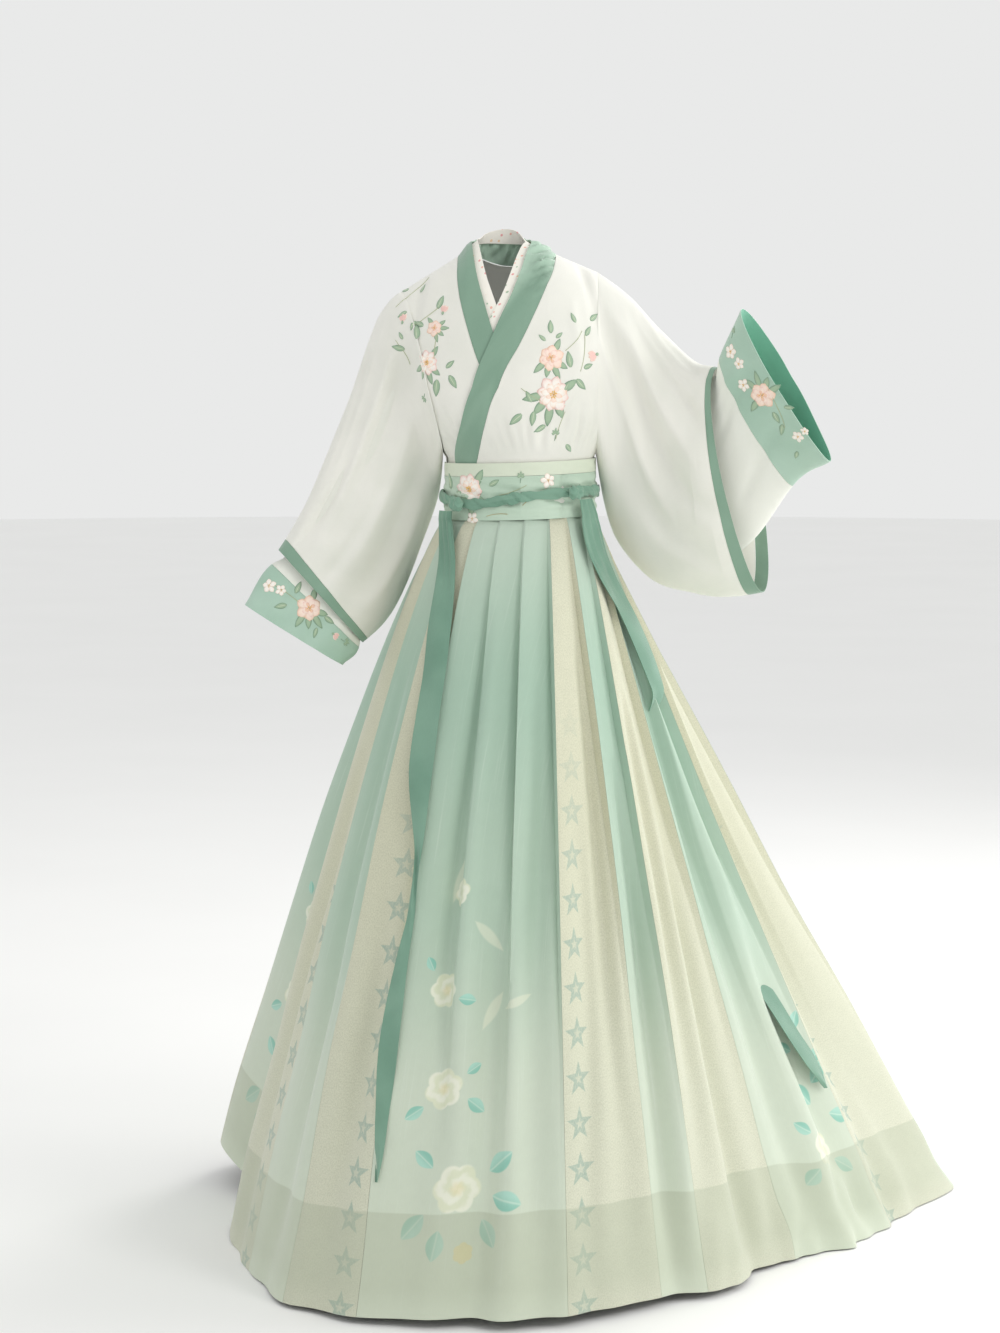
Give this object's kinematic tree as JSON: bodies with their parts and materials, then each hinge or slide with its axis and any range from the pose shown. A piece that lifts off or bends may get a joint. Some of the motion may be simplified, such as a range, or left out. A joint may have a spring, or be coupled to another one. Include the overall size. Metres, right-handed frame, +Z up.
{
  "type": "hanfu dress",
  "caption": "Cross-collar hanfu dress with wide double sleeves, embroidered cuffs and waistband, a long sash and a pleated floor-length skirt, hollow as worn.",
  "frame": {"origin": "the base of the neck, midway between the shoulders, where the wearer carries the dress", "axes": "+Z up, the front faces -Y, +X towards the wearer's left"},
  "size_m": [1.1143, 0.9347, 1.4361],
  "materials": {
    "robe_cloth": "matt sheer weave",
    "lining_cloth": "matt sheer weave",
    "collar_cloth": "soft satin",
    "collar_print": "printed satin",
    "cuff_satin": "embroidered satin",
    "waist_satin": "embroidered satin",
    "binding_satin": "satin",
    "skirt_cream": "fine textured weave",
    "skirt_green": "sheer chiffon over lining",
    "sash_cloth": "gathered soft weave"
  },
  "bodies": {
    "root": {"robe_back": "robe_cloth", "robe_front_right": "robe_cloth", "robe_front_left": "robe_cloth", "sleeve_right": "robe_cloth", "sleeve_left": "robe_cloth", "sleeve_band_right": "collar_cloth", "sleeve_band_left": "collar_cloth", "inner_sleeve_right": "lining_cloth", "inner_sleeve_left": "lining_cloth", "cuff_right": "cuff_satin", "cuff_left": "cuff_satin", "collar_right": "collar_cloth", "collar_left": "collar_cloth", "under_collar_right": "collar_print", "under_collar_left": "collar_print", "waistband": "waist_satin", "waistband_binding": "binding_satin", "sash_wrap": "sash_cloth", "sash_knot_right": "sash_cloth", "sash_knot_left": "sash_cloth", "sash_tail_right": "sash_cloth", "sash_tail_left": "sash_cloth", "skirt_panel_01": "skirt_cream", "skirt_panel_02": "skirt_green", "skirt_panel_03": "skirt_cream", "skirt_panel_04": "skirt_green", "skirt_panel_05": "skirt_cream", "skirt_panel_06": "skirt_green", "skirt_panel_07": "skirt_cream", "skirt_panel_08": "skirt_green", "skirt_panel_09": "skirt_cream", "skirt_panel_10": "skirt_green", "skirt_panel_11": "skirt_cream", "skirt_panel_12": "skirt_green", "skirt_panel_13": "skirt_cream", "skirt_panel_14": "skirt_green", "skirt_panel_15": "skirt_cream", "skirt_panel_16": "skirt_green"}
  },
  "joints": []
}
